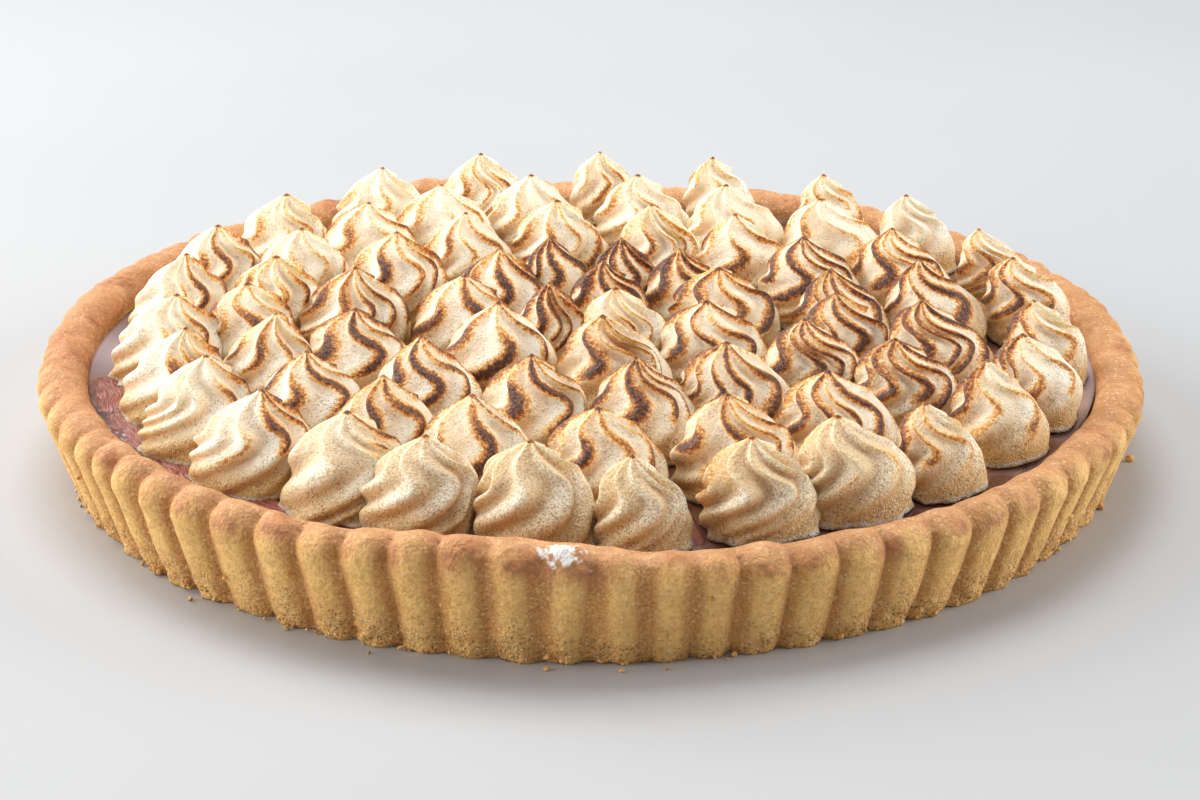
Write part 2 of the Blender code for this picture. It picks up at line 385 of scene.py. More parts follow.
def distances(places):
    """Distance from each place to each other one; a place's own is 1 m, which is far away."""
    between = places[:, None] - places[None]
    return np.hypot(between[..., 0], between[..., 1]) + np.eye(len(places))


def shove_apart(tips):
    """Move each kiss away from those closer than CLOSEST by a quarter of what is missing."""
    for _ in range(SHOVES):
        apart = distances(tips)
        short = np.maximum(CLOSEST - apart, 0.0)
        between = tips[:, None] - tips[None]
        tips = tips + 0.25 * ((short / apart)[..., None] * between).sum(axis=1)
    return tips


tips = ring_layout()
centres = tips + np.array(PULL) * (tips - np.array(PULL_TOWARD))
apart = distances(centres)
room = np.sort(apart, axis=1)[:, :4].mean(axis=1)
room = room * KISS_CROWDING * (1 + 0.04 * all_uneven(1)[:, 0])
room_at_case = CASE_SQUEEZE * (CASE_REACH - np.hypot(centres[:, 0], centres[:, 1]))
radii = np.clip(np.minimum(room, room_at_case), *KISS_RADIUS_RANGE)
heights = KISS_HEIGHT * (radii / USUAL_RADIUS) ** 0.3 * (1 + 0.03 * all_uneven(2)[:, 0])
leans = tips - centres + TIP_WOBBLE * all_uneven(3, 4)
kiss_nodes = {name: [int(part) - 1 for part in name.split("_")[1:]]
              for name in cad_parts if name.startswith("kiss")}
partners = {a: b for pair in kiss_nodes.values() if len(pair) == 2
            for a, b in (pair, pair[::-1])}
worst = max(abs(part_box(name)[1][2] - FILLING_TOP - GAP - heights[kisses].max())
            for name, kisses in kiss_nodes.items())
print("kisses:", KISSES, "nodes:", len(kiss_nodes), "largest height error:", worst)

# %% [markdown]
# ## One kiss
#
# A star nozzle presses meringue out in ridges. The foot swells and swirls as the nozzle stands
# still, then the nozzle is pulled up and off, so the ridges run nearly straight to a pointed
# tip. A kiss could be a twisted star curve with a taper, but a formula on a grid lets the turn,
# the sharpness and the depth of the ridges change on the way up. Neighbours then flatten each
# other where they meet, and the case squeezes the outer half of the kisses along it.

# %% The surface of a kiss
SAMPLES_PER_RIDGE = 16
KISS_ROWS = 46
CREST_HEIGHT = 0.11                 # of the kiss's radius, above its mean surface
VALLEY_DEPTH = 0.18
HOOK, SWIRL = 52, 108               # degrees that a ridge swings above its bend, and back below
BEND = 0.70                         # height of the bend, as a share of the kiss's height
BURN_SHIFT = 0.10                   # of a ridge's pitch, from the crest towards the middle
BODY_SWAY = 0.8 * MM
FUSED_OVERLAP = 1.5 * MM            # how far two kisses of a couple run into each other
NEIGHBOUR_REACH = 45.0 * MM
PRESS_SOFTNESS = 1.8 * MM
INNER_WALL_RADIUS = 131.2 * MM
WALL_SOFTNESS = 1.5 * MM
ROOM_AT_WALL = 1.12                 # radii that a kiss needs before the case squeezes it
RIM_FREEDOM = 3.5 * MM              # how far a kiss may lean out above the rim
SHADED_ROW = (-84.0, 44.0)           # middle and width in degrees of the front row, which gets the most painted shade


def soft_limit(value, limit, softness):
    """Leave a value alone well below a limit and flatten it as it nears the limit."""
    over = np.maximum(value - (limit - softness), 0.0)
    return np.where(over > 0, limit - softness * np.exp(-over / softness), value)


def press_flat(points, kiss):
    """Push a kiss back from the planes that part it from its neighbours, and from the case.

    The case squeezes the whole outer half, so it stays round. The second result tells how far
    the neighbours pushed each point, from 0 to 1; the finish paints shade where it is high.
    """
    distance = np.hypot(*centres[kiss])
    outward = centres[kiss] / distance
    squeeze = min(1.0, (INNER_WALL_RADIUS - distance) / (radii[kiss] * ROOM_AT_WALL))
    along = np.maximum((points[..., :2] - centres[kiss]) @ outward, 0.0)
    above = smoothstep(FILLING_TOP + 3 * MM, FILLING_TOP + 13 * MM, points[..., 2])
    points[..., :2] -= ((1 - squeeze) * (1 - 0.6 * above) * along)[..., None] * outward
    free = points.copy()
    for other in np.flatnonzero(apart[kiss] < NEIGHBOUR_REACH):
        toward = (centres[other] - centres[kiss]) / apart[kiss, other]
        overlap = FUSED_OVERLAP if other == partners.get(kiss) else -GAP / 2
        plane = (apart[kiss, other] / 2 + overlap
                 + (radii[kiss] ** 2 - radii[other] ** 2) / (2 * apart[kiss, other]))
        along = (points[..., :2] - centres[kiss]) @ toward
        points[..., :2] += (soft_limit(along, plane, PRESS_SOFTNESS) - along)[..., None] * toward
    moved = np.hypot(*(points - free)[..., :2].transpose(2, 0, 1))
    reach = np.hypot(points[..., 0], points[..., 1])
    over_the_rim = smoothstep(25 * MM, 31 * MM, points[..., 2])
    limit = soft_limit(reach, INNER_WALL_RADIUS + RIM_FREEDOM * over_the_rim, WALL_SOFTNESS)
    points[..., :2] *= (limit / reach)[..., None]
    return points, smoothstep(0.3 * MM, 2.6 * MM, moved)


def front_row_shade(kiss):
    """A kiss's share of the front row, from 0 to 1: its foam gets painted shade, as tan, and its
    ridges stand out more.
    """
    outer = smoothstep(92.0 * MM, 110.0 * MM, np.hypot(*centres[kiss]))
    return (0.25 + 0.75 * outer) * near(math.atan2(*centres[kiss][::-1]), *SHADED_ROW, 4)


def ridge_turn(h, even, quirk, across):
    """Turn of the ridges: a hook one way above the bend, and a swirl back below it."""
    bend = BEND + 0.05 * quirk[5]
    hook = math.radians(HOOK + 14 * quirk[4] + 24 * max(across, 0.0))
    hook = hook * (1 + 0.3 * np.sin(even + 3 * quirk[12]))
    swirl = math.radians(SWIRL + 24 * quirk[3] + 12 * across)
    return (hook * smoothstep(0.98, bend - 0.12, h)
            - swirl * np.clip((bend + 0.02 - h) / bend, 0, 1) ** 1.2)


def ridge_relief(kiss, ridges, h, u, lump_place, quirk):
    """Relief of crests and valleys, how far they stand out, and the power of the valleys.

    |sin(pi u)|^p is the shape of a valley: p near 1 gives sharp crests at the top, and a large
    p gives fat lobes with narrow grooves at the foot.
    """
    power = 2.6 - 0.5 * smoothstep(0.1, 0.5, h) - 1.0 * smoothstep(0.45, 0.8, h)
    valley = np.abs(np.sin(math.pi * u)) ** power
    crest = CREST_HEIGHT * (1 + 0.35 * np.sin((np.floor(u + 0.5) % ridges) * 2.4 + kiss))
    depth = VALLEY_DEPTH * (1 + 0.35 * np.sin(np.floor(u) * 1.9 + 2 * kiss))
    low_stand = 0.60 + 0.47 * front_row_shade(kiss)
    stand = (low_stand * (0.32 + 0.36 * smoothstep(0.10, 0.45, h))
             + (1.30 - 0.68 * low_stand) * smoothstep(0.50, 0.88, h))
    stand *= (1 + 0.15 * quirk[9]) * (1 + 0.55 * lattice_noise(lump_place, 0.7, kiss + 90))
    return stand * (crest * (1 - valley) - depth * valley), stand, power


def kiss_surface(kiss):
    """Points of a kiss on a grid of ridge coordinate and height, and what its masks need.

    The ridge coordinate u counts ridges round the kiss, and it is whole on a crest, so the
    columns of the grid run along the ridges. The bearing is u's share of a full turn, plus the
    turn of the ridges, plus two slow waves that make them uneven. The radius falls from belly to
    tip as (1 - h^a)^b, plus the relief of the ridges and lumps of several sizes.
    """
    quirk = [uneven(kiss, 10 + i) for i in range(15)]
    across = centres[kiss][0] / RING_REACH
    ridges = 7 if quirk[0] < 0.3 else 8
    u, row = np.meshgrid(np.arange(ridges * SAMPLES_PER_RIDGE) / SAMPLES_PER_RIDGE,
                         np.arange(KISS_ROWS))
    h = np.sin(row / KISS_ROWS * math.pi / 2)
    belly = 1.02 * (1 - h ** (2.1 + 0.35 * quirk[1])) ** (0.72 + 0.07 * quirk[2])
    belly *= 1 + (0.06 * quirk[7] - 0.04) * hump(h, 0.16) + 0.05 * hump(h, 0.035)
    even = u * 2 * math.pi / ridges + math.pi * quirk[6]
    turn = ridge_turn(h, even, quirk, across)
    angle = (even + turn + 0.17 * np.sin(even + 3 * quirk[13])
             + 0.12 * np.sin(2 * even + 3 * quirk[14]))
    lump_place = polar(belly, angle, h * 1.6)
    relief, stand, power = ridge_relief(kiss, ridges, h, u, lump_place, quirk)
    lumps = (0.055 * lattice_noise(lump_place, 0.8, kiss + 1)
             + 0.022 * lattice_noise(lump_place, 0.30, kiss + 2)
             + 0.010 * lattice_noise(lump_place, 0.13, kiss + 3)
             + 0.035 * lattice_noise(lump_place, 0.10, kiss + 4) * hump(h, 0.04))
    rise = heights[kiss] * (0.93 * h + 0.07 * hump(belly, 0.15, 1.2))
    points = polar(radii[kiss] * belly * (1 + relief + lumps), angle, rise + (FILLING_TOP + GAP))
    sway = BODY_SWAY * np.array([quirk[10], quirk[11]])
    points[..., :2] += (centres[kiss] + leans[kiss] * (h ** 2)[..., None]
                        + sway * np.sin(h * math.pi)[..., None])
    points, pressed = press_flat(points, kiss)
    tip = np.array([*(centres[kiss] + leans[kiss]), FILLING_TOP + GAP + heights[kiss]])
    girth = radii[kiss] * belly
    upward = np.gradient(girth, axis=0) ** 2 + np.gradient(points[..., 2], axis=0) ** 2
    sideways = (girth * np.gradient(turn, axis=0)) ** 2
    pitch = 2 * math.pi * girth / ridges * np.sqrt(upward / (upward + sideways))
    # Painted shade: gold on the underside of each ridge and where neighbours press together.
    underside_shade = np.abs(np.sin(math.pi * (u + 0.14))) ** power * (0.45 + 0.45 * stand)
    return points, tip, h, u, angle, pitch, np.maximum(underside_shade, 0.9 * pressed)


# %% [markdown]
# ## The torch
#
# The flame came from over the middle of the pie, so it caught the ridges that face the middle
# and look up, and every tip. Some kisses just left of the centre are almost black, and the
# front row is hardly touched. The strength of the flame is stored on the points of each kiss;
# the thin burnt lines themselves are drawn by the finish, along the crests of the ridges.

# %% Strength of the flame
# x and y in mm, width in mm and extra strength of places where the flame stayed longer
HOT_SPOTS = ((-6, 30, 22, 0.55), (30, -42, 30, 0.25), (70, 20, 40, 0.35), (-60, -20, 26, 0.10))
# bearing, width in degrees, share of the flame that it missed
SPARED_ROWS = ((-86, 30, 0.62), (-172, 24, 0.05))
# for each ring, the places of kisses on which the flame stayed longer, or hardly at all
TORCHED = (
    {3: 1.7, 4: 1.25, 8: 1.5, 9: 1.4, 10: 1.3, 11: 1.3, 12: 1.2, 13: 1.1, 16: 0.7},
    {0: 0.7, 1: 0.85, 2: 1.35, 3: 1.25, 4: 1.1, 5: 1.2, 6: 1.15, 7: 1.1, 8: 1.2, 9: 1.2, 13: 0.8,
     18: 0.8, 19: 0.7},
    {1: 1.1, 2: 1.3, 3: 1.35, 4: 1.35, 5: 1.2, 6: 1.15, 13: 0.9},
    {4: 1.5, 5: 1.45, 6: 1.5},
    {0: 1.4, 1: 0.6})
TIP_SHARE = (0.985, 0.997)          # the burnt tip begins and is full at these heights
torched = [ring.get(place, 1.0) for row, ring in zip(RINGS, TORCHED) for place in range(row[0])]


def scorch_on(kiss, h, u, angle):
    """How strongly the flame burned each point, from 0 to about 1.5."""
    x, y = centres[kiss] / MM
    bearing = math.atan2(y, x)
    outer = smoothstep(92.0, 112.0, np.hypot(x, y))
    strength = (0.84 + 0.15 * uneven(kiss, 30)) * torched[kiss]
    for spot_x, spot_y, width, extra in HOT_SPOTS:
        strength += extra * hump(np.hypot(x - spot_x, y - spot_y), width)
    for middle, width, missed in SPARED_ROWS:
        strength *= 1 - missed * outer * near(bearing, middle, width, 4)
    strength *= 1 - 0.45 * smoothstep(0.0, 85.0, y)
    one_sided = 0.10 + (0.45 if x > 60 else 0.62) * outer
    faces_middle = smoothstep(-0.75, 0.55, np.cos(angle - bearing - math.pi
                                                  + 0.5 * uneven(kiss, 31)))
    facing = 1 - one_sided * (1 - faces_middle)
    ridge_number = np.floor(u + 0.5)
    end = 0.30 + 0.08 * uneven(kiss, 32) + 0.09 * np.sin(ridge_number * 2.1 + kiss)
    from_above = smoothstep(end - 0.05, end + 0.15, h)
    along = 1 - 0.35 * smoothstep(0.68, 0.90, h)
    tip = smoothstep(*TIP_SHARE, h)
    patchy = 1 + 0.25 * np.sin(ridge_number * 3.7 + 5 * h + kiss * 1.3)
    return strength * facing * patchy * along * from_above * (1 - tip) + max(strength, 0.75) * tip


# %% [markdown]
# ## The finish of the meringue
#
# Baked foam is cream-coloured and matt, slightly see-through, with fine pores. Along each crest
# the sugar went orange, then brown, then black. The surface's own u coordinate counts ridges,
# so its distance from a whole number is the distance from a crest; noise frays the line.
#
# The crests stay cream. The hollows get painted shade in gold, and the foot goes golden, partly
# toasted foam and partly painted shade. Two numbers on the points steer this: `hollow`
# tells how deep a point lies between ridges or neighbours, and `baked` how much painted
# shade, as tan, the whole kiss gets, most in the front row. At the foot of the front-row kisses
# the foam dried to a pale lace.

# %% Meringue finish
BURN_STOPS = ((0.0, (250, 222, 178)), (0.22, (242, 192, 120)), (0.42, (212, 144, 72)),
              (0.60, (160, 100, 52)), (0.80, (106, 68, 50)), (1.0, (66, 48, 44)))


def burn_lines(n, crest, pitch, up, scorch, strong, fray):
    """Heat of the sugar: highest on a crest, and falling to 0 at the line's frayed edge.

    The line is wider where the flame was stronger, and narrower where ridges run close.
    """
    frayed = n.calculate("MULTIPLY_ADD", fray, 0.5, crest)
    narrowing = n.calculate("DIVIDE", pitch, n.calculate("ADD", pitch, 1.5))
    width = n.times(narrowing, n.remap(scorch, 0.1, 1.0, 1.3, 3.5))
    inside = n.calculate("SUBTRACT", 1.0, n.calculate("DIVIDE", frayed, width))
    line = n.times(n.remap(inside, 0.0, 0.9), strong)
    tip = n.times(n.remap(up, *TIP_SHARE), n.remap(scorch, 0.1, 0.7, 0.35, 0.9))
    speck = n.times(n.patches(1500.0, 0.42, 0.66), 0.30)
    return n.calculate("SUBTRACT", n.calculate("MAXIMUM", line, tip), speck)


def foam_colour(n, crest, up, foam, foot, baked, strong, fray):
    """Cream, golden at the foot (toasted foam and painted shade), painted shade as tan on the front
    row and gold in the hollows, blotches, small holes, froth or lace, and warm crests.
    """
    froth = n.times(n.remap(up, 0.07, 0.03), fray)
    lace = n.times(n.remap(up, 0.30, 0.04, 0.0, 0.55),
                   n.times(n.patches(900.0, 0.46, 0.62, 1.0), n.remap(baked, 0.1, 0.8)))
    deep_shade = n.remap(n.mask("hollow"), 0.10, 0.80)
    holes = n.remap(n.calculate("MAXIMUM", foot, baked), 0.0, 1.0, 0.12, 0.62)
    # Painted shade: tan over the front row, gold in the hollows, and gold at the foot, where it is
    # partly the toasted foam's own colour.
    return n.layer(
        n.blend(foot, (253, 248, 232), (236, 194, 124)),
        (n.times(baked, n.remap(deep_shade, 0.0, 0.7, 0.26, 0.64)), (230, 196, 138)),
        (n.times(deep_shade, n.remap(up, 0.80, 0.40, 0.16, 0.55)),
         n.blend(baked, (226, 178, 104), (206, 156, 90))),
        (n.times(n.patches(150.0, 0.35, 0.65), 0.25), (244, 214, 160)),
        (n.times(n.remap(foam, 0.30, 1.0), holes), (202, 158, 98)),
        (n.calculate("MAXIMUM", froth, lace), (250, 240, 226)),
        (n.times(n.times(n.remap(crest, 2.6, 0.6), strong), 0.5), (250, 208, 144)))


def make_meringue():
    """Cream foam with burnt crests, from the ridge coordinate and the stored flame."""
    material, n, shader = new_material("torched_meringue", 1.40, 0.35, 0.005, (1.0, 0.6, 0.3))
    surface = n.add("ShaderNodeUVMap", uv_map="surface").outputs[0]
    ridge, up = n.add("ShaderNodeSeparateXYZ", {0: surface}).outputs[:2]
    scorch, pitch, baked = map(n.mask, ("scorch", "pitch", "baked"))
    strong = n.remap(scorch, 0.08, 0.85)
    # golden towards the foot: partly toasted foam, partly painted shade; it also weights pores and
    # bumps
    foot = n.remap(up, 0.60, 0.05)
    fray = n.patches(800.0, 0.30, 0.70, 3.0)
    foam = n.patches(2000.0, 0.28, 0.72, 1.0)
    crest = n.times(n.calculate("PINGPONG", ridge, 0.5), pitch)
    heat = burn_lines(n, crest, pitch, up, scorch, strong, fray)
    toast = n.add("ShaderNodeValToRGB", {"Fac": heat})
    stops = toast.color_ramp.elements
    for position, _ in BURN_STOPS[1:-1]:
        stops.new(position)
    for stop, (_, colour) in zip(stops, BURN_STOPS):
        stop.color = srgb(*colour)
    pores = n.calculate("MAXIMUM", n.dots(1900.0, 0.40, 0.40), n.dots(900.0, 0.24, 0.60))
    pores = n.times(pores, n.patches(260.0, 0.36, 0.62))
    colour = n.layer(
        foam_colour(n, crest, up, foam, foot, baked, strong, fray),
        (n.remap(heat, 0.0, 0.18), toast.outputs["Color"]),
        (n.times(pores, n.remap(up, 0.90, 0.3, 0.25, 0.62)), (142, 88, 44)))
    normal = n.bump(foam, -0.0003, n.remap(foot, 0.0, 1.0, 0.5, 1.0))
    normal = n.bump(pores, -0.0004, 0.9, normal)
    normal = n.bump(n.patches(480.0, 0.15, 0.85, 1.0), 0.0004, 0.5, normal)
    n.connect(shader, {"Base Color": colour, "Normal": normal,
                       "Roughness": n.remap(heat, 0.1, 0.7, 0.60, 0.42)})
    return material


meringue = make_meringue()
print("finish:", meringue.name)


# %% Pipe the kisses
def kiss_parts(kiss):
    """Arrays of one closed kiss: points, quads, triangles, uvs of both, and point masks."""
    points, tip, h, u, angle, pitch, hollow = kiss_surface(kiss)
    scorch = scorch_on(kiss, h, u, angle)
    toward = centres[kiss] / np.hypot(*centres[kiss])
    leeward = np.sin(angle) * toward[0] - np.cos(angle) * toward[1]
    burn = u - BURN_SHIFT * leeward
    columns = h.shape[1]
    flat, quads, triangles = close_grid(points, tip, [*points[0, :, :2].mean(axis=0),
                                                      FILLING_TOP + GAP])
    after = np.roll(burn, -1, axis=1)
    after[:, -1] += columns / SAMPLES_PER_RIDGE
    here, beside = np.stack([burn, h], axis=-1), np.stack([after, h], axis=-1)
    at_tip = np.stack([burn[-1], np.ones(columns)], axis=-1)
    quad_uvs = np.stack([here[:-1], beside[:-1], beside[1:], here[1:]], axis=2).reshape(-1, 2)
    tip_uvs = np.stack([here[-1], beside[-1], at_tip], axis=1).reshape(-1, 2)
    foot_uvs = np.full((columns * 3, 2), (0.5, 0.0))
    # baked and hollow carry painted shade to the finish
    masks = {"scorch": np.append(scorch, [scorch[-1].max(), 0.0]),
             "baked": np.full(len(flat), front_row_shade(kiss)),
             "pitch": np.append(pitch / MM, [0.1, 10.0]),
             "hollow": np.append(hollow, [0.0, 1.0])}
    return flat, quads, triangles, quad_uvs, np.vstack([tip_uvs, foot_uvs]), masks


def pipe_kisses():
    """One piece for each node: a single kiss, or a couple that is one body."""
    faces = 0
    for node, kisses in kiss_nodes.items():
        points, quads, triangles, quad_uvs, fan_uvs, masks = zip(*map(kiss_parts, kisses))
        shift = np.cumsum([0] + [len(p) for p in points])
        quads = np.vstack([q + s for q, s in zip(quads, shift)])
        triangles = np.vstack([t + s for t, s in zip(triangles, shift)])
        masks = {mask: np.concatenate([m[mask] for m in masks]) for mask in masks[0]}
        piece = add_piece("meringue_" + node, np.vstack(points), quads, triangles,
                          meringue, np.vstack(quad_uvs + fan_uvs), masks)
        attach(piece, "root")
        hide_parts(node)
        faces += 2 * len(quads) + len(triangles)
    return faces


print("triangles in the kisses:", pipe_kisses())

# %% [markdown]
# ## The case
#
# Shortcrust pressed into a fluted tin comes out as a wall of round lobes with narrow creases
# between them, rolled over smoothly at the top, with a crumbly lower edge. The section of the
# wall is carried round the pie; how far the flutes stand out depends on the height and on the
# bearing, because the front was smoothed when the case was pressed in.

# %% Section of the case
RIM_RADIUS = 145.0 * MM
BASE_RADIUS = 137.0 * MM
WALL_HEIGHT = 28.0 * MM
FLUTES = 76
SAMPLES_PER_FLUTE = 16
FLUTE_DEPTH = 3.0 * MM
FLOOR_THICKNESS = 5.0 * MM
INNER_RADIUS_FLOOR = 127.5 * MM
RIM_WAVES = ((1, 1.2 * MM, 140), (3, 0.5 * MM, 20), (7, 0.35 * MM, 65))
RIM_BUMPS = ((111, 7, 2.2 * MM), (82, 9, -1.8 * MM), (-105, 6, 2.0 * MM), (-95, 6, 2.0 * MM))
ROLL_CENTRE = (138.9 * MM, 22.2 * MM)       # radius and height of the middle of the rolled rim
ROLL_REACH = (5.5 * MM, 7.0 * MM, 5.8 * MM)     # outwards, inwards and upwards
ROLL_SQUARENESS = 2.2                       # 2 would be round, and more is flatter on top
WALL_TOP_RADIUS = ROLL_CENTRE[0] + ROLL_REACH[0]


def rim_height(bearings):
    """How far the rim's crest is above or below its usual height."""
    lift = np.zeros_like(bearings)
    for waves, size, bearing in RIM_WAVES:
        lift += size * np.cos(waves * (bearings - math.radians(bearing)))
    for bearing, width, size in RIM_BUMPS:
        lift += size * near(bearings, bearing, width)
    return lift


def crust_section():
    """Radius, height, share of the flutes and turn round the roll, from the base to the floor.

    The roll is a superellipse: cosine and sine of the turn, raised to the power 2 / squareness.
    """
    bend = 2 / ROLL_SQUARENESS
    base = [(BASE_RADIUS * s, 0.0, s ** 20, 0) for s in (0.25, 0.5, 0.75, 0.92, 0.985)]
    wall = [(BASE_RADIUS + (WALL_TOP_RADIUS - BASE_RADIUS) * s ** 0.95, ROLL_CENTRE[1] * s, 1.0, 0)
            for s in np.linspace(0.0, 1.0, 30)]
    roll = []
    for degrees in range(6, 181, 6):
        turn = math.radians(degrees)
        out = ROLL_REACH[0] if degrees < 90 else -ROLL_REACH[1]
        roll.append((ROLL_CENTRE[0] + out * abs(math.cos(turn)) ** bend,
                     ROLL_CENTRE[1] + ROLL_REACH[2] * math.sin(turn) ** bend,
                     max(math.cos(turn), 0.0) ** 0.5, degrees))
    inner = [(INNER_RADIUS_FLOOR + (ROLL_CENTRE[0] - ROLL_REACH[1] - INNER_RADIUS_FLOOR) * s,
              FLOOR_THICKNESS + (ROLL_CENTRE[1] - FLOOR_THICKNESS) * s, 0.0, 180)
             for s in (0.7, 0.0)]
    floor = [(INNER_RADIUS_FLOOR * s, FLOOR_THICKNESS, 0.0, 180) for s in (0.6, 0.2)]
    return np.array(base + wall + roll + inner + floor)


section = crust_section()
print("points in the section:", len(section))

# %% [markdown]
# ## The finish of the shortcrust
#
# Baked shortcrust is dry and sandy, gold on the wall, brown and grainy near the base. The wall
# has painted highlight in the middles of its lobes and painted shade, a deeper gold, in the
# creases. The rim is pinker and smoother, with brown patches on the heads of the lobes and a few
# dark pits. The shape's own numbers, stored on its points, tell the finish where the lobes, the
# creases and the rim are; dots and patches of several sizes give the grain.

# %% Shortcrust finish
# a smear of flour on the rim: bearing and width in degrees, then radius and width
FLOUR = (-92.3, 2.4, 141.2 * MM, 2.6 * MM)
# bearing and width in degrees of torn places just under the rim
SCARS = ((-95.5, 2.4), (-90.5, 2.8), (-102.0, 1.4), (-107.5, 1.2), (-62.0, 1.6),
         (-45.0, 1.2), (-30.0, 1.4), (-12.0, 1.6), (8.0, 1.4))


def make_shortcrust():
    """Sandy golden crust, painted lighter on the lobes and darker in the creases as painted
    highlight and shade, with brown heads, a grainy foot and a smear of flour.
    """
    material, n, shader = new_material("baked_shortcrust", 1.45, 0.06, 0.003, (1.0, 0.5, 0.25))
    rim, lobe, low, brown, flour = map(n.mask, ("rim", "lobe", "low", "brown", "flour"))
    blotch = n.patches(75.0, 0.36, 0.66)
    mottle = n.patches(260.0, 0.38, 0.66, 3.0)
    sand = n.patches(1400.0, 0.22, 0.78, 1.0)
    fine = n.patches(620.0, 0.35, 0.65, 3.0)
    light_grains = n.dots(820.0, 0.36, 0.55)
    dark_grains = n.calculate("MAXIMUM", n.dots(1150.0, 0.44, 0.45), n.dots(620.0, 0.36, 0.60))
    top = n.blend(n.calculate("MAXIMUM", mottle, blotch), (216, 164, 118), (190, 132, 88))
    pits = n.times(n.dots(45.0, 0.05, 0.35), rim)
    dust = n.calculate("ADD", flour, n.patches(500.0, 0.2, 0.8, 3.0))
    colour = n.layer(
        # Painted highlight and shade: pale gold in the middles of the lobes, deep gold in the
        # creases.
        n.blend(n.remap(lobe, 0.15, 0.85), (176, 108, 44), (255, 206, 122)),
        (n.times(blotch, 0.3), (222, 162, 80)),
        (n.times(mottle, 0.25), (200, 138, 76)),
        (n.times(fine, 0.38), (200, 134, 60)),
        (n.times(low, n.remap(mottle, 0.0, 1.0, 0.4, 0.95)), (234, 172, 98)),
        (n.times(rim, 0.85), top),
        (n.times(dark_grains, n.remap(low, 0.0, 1.0, 0.28, 0.80)), (146, 86, 42)),
        (n.times(light_grains, n.remap(low, 0.0, 1.0, 0.30, 0.85)), (255, 232, 184)),
        (n.times(sand, n.remap(rim, 0.0, 1.0, 0.34, 0.14)), (255, 216, 146)),
        (n.times(brown, 0.8), n.blend(fine, (198, 126, 78), (150, 90, 56))),
        (n.times(pits, 1.1), (98, 60, 42)),
        (n.remap(dust, 0.92, 1.30), (248, 244, 238)))
    normal = n.bump(sand, 0.00035, n.remap(low, 0.0, 1.0, 0.45, 1.0))
    normal = n.bump(n.patches(330.0, 0.15, 0.85, 1.0), 0.0005, 0.5, normal)
    normal = n.bump(light_grains, 0.0006, n.remap(low, 0.0, 1.0, 0.2, 1.0), normal)
    n.connect(shader, {"Base Color": colour, "Normal": normal, "Roughness": 0.68})
    return material


shortcrust = make_shortcrust()
print("finish:", shortcrust.name)


# %% Flutes of the case
HEADS = (-101.0, 58.0)              # bearing and width where the heads of the lobes stand out
PRESSED_FLAT = (-88.0, 12.0)        # the same of the place where the flutes are nearly flat
HEAD_BULGE = 1.0 * MM
HEAD_HEIGHT = 23.4 * MM
SCALLOP = 3.0 * MM                  # how far the heads lift the edge of the rim


def press_flutes(angle, circle, upright):
    """Lobe, its plain wave, its size, share of heads and how far it stands at each bearing.

    A lobe is sin^2 of the flutes counted so far, raised to a low power, so it is broad between
    narrow creases. Noise shifts the flutes along, and each has a size of its own.
    """
    position = FLUTES * angle / (2 * math.pi) + (
        0.20 * lattice_noise(circle * RIM_RADIUS, 34 * MM, 3)
        + 0.06 * lattice_noise(circle * RIM_RADIUS + upright, 13 * MM, 4))
    flute = np.floor(position).astype(int) % FLUTES
    pressed = near(angle, *PRESSED_FLAT, 4)
    crisp = 0.30 - 0.10 * smoothstep(-0.2, 0.5, np.cos(angle)) + 0.5 * pressed
    wave = np.sin(math.pi * position) ** 2
    size = 1 + 0.22 * np.sin(flute * 2.9) * np.sin(flute * 1.3 + 1)
    heads = 0.30 + 0.70 * near(angle, *HEADS, 4)
    return (wave + 0.002) ** crisp, wave, size, heads, 1 - 0.60 * pressed


def brown_places(points, angle, lobe, rim, height, base_radius, head_top):
    """Brown on the heads of the lobes, in patches on the rim, at its left and on the scars."""
    brown = head_top * smoothstep(0.55, 0.95, lobe) * smoothstep(
        -0.15, 0.9, layered_noise(points, 11 * MM, 12))
    brown += 0.8 * smoothstep(0.34, 0.75, layered_noise(points, 9 * MM, 15)) * rim
    brown += 0.4 * rim * near(angle, 180.0, 42.0, 4)
    under_rim = (base_radius > 140 * MM) * hump(height - 24.8 * MM, 2.6 * MM)
    return np.clip(brown + under_rim * sum(near(angle, *scar) for scar in SCARS), 0, 1)


